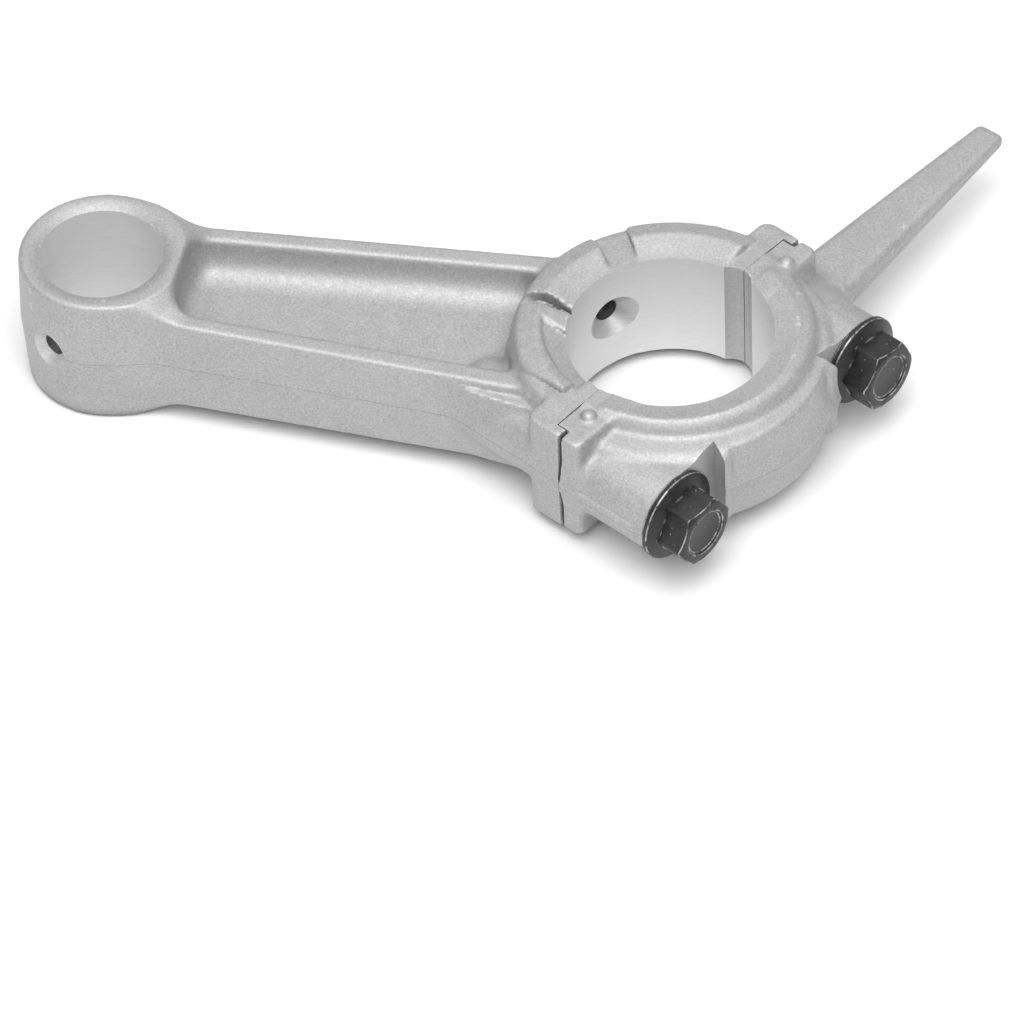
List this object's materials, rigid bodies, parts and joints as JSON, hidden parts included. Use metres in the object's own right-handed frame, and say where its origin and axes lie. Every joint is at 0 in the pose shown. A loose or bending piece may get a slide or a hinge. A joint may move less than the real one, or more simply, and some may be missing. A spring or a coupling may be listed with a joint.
{
  "type": "connecting rod with split cap",
  "caption": "Connecting rod of a small single-cylinder engine, with a split bearing cap, flange bolts and an oil dipper blade cast on the cap.",
  "frame": {"origin": "centre of the crankpin bore, at half its length", "axes": "+Z along the crankpin bore, parallel to the piston pin bore; the piston pin bore lies on the -X side; the cap and its bolts point 30 degrees from +X towards -Y; the oil dipper points roughly to +Y"},
  "size_m": [0.1359, 0.0937, 0.0222],
  "materials": {
    "cast_rod": "as-cast, bores and faces machined",
    "cast_cap": "as-cast, bores and faces machined",
    "bolt_steel": "black oxide steel, worn at the edges"
  },
  "bodies": {
    "rod": {"rod_body": "cast_rod"},
    "cap": {"cap": "cast_cap"},
    "near_bolt": {"near_bolt": "bolt_steel"},
    "far_bolt": {"far_bolt": "bolt_steel"}
  },
  "joints": [
    {"name": "cap_slide", "type": "slide", "parent": "rod", "child": "cap", "axis": [0.866, -0.5, 0], "range_m": [0, 0.013]},
    {"name": "near_bolt_turn", "type": "hinge", "parent": "cap", "child": "near_bolt", "pos_m": [0.0054, -0.02644, 0], "axis": [0.866, -0.5, 0], "range_deg": [0, 4690]},
    {"name": "far_bolt_turn", "type": "hinge", "parent": "cap", "child": "far_bolt", "pos_m": [0.0256, 0.00854, 0], "axis": [0.866, -0.5, 0], "range_deg": [0, 4690]}
  ],
  "couplings": [
    {"joint": "near_bolt_turn", "follows": "cap_slide", "rad_per_m": 6283.2},
    {"joint": "far_bolt_turn", "follows": "cap_slide", "rad_per_m": 6283.2}
  ]
}
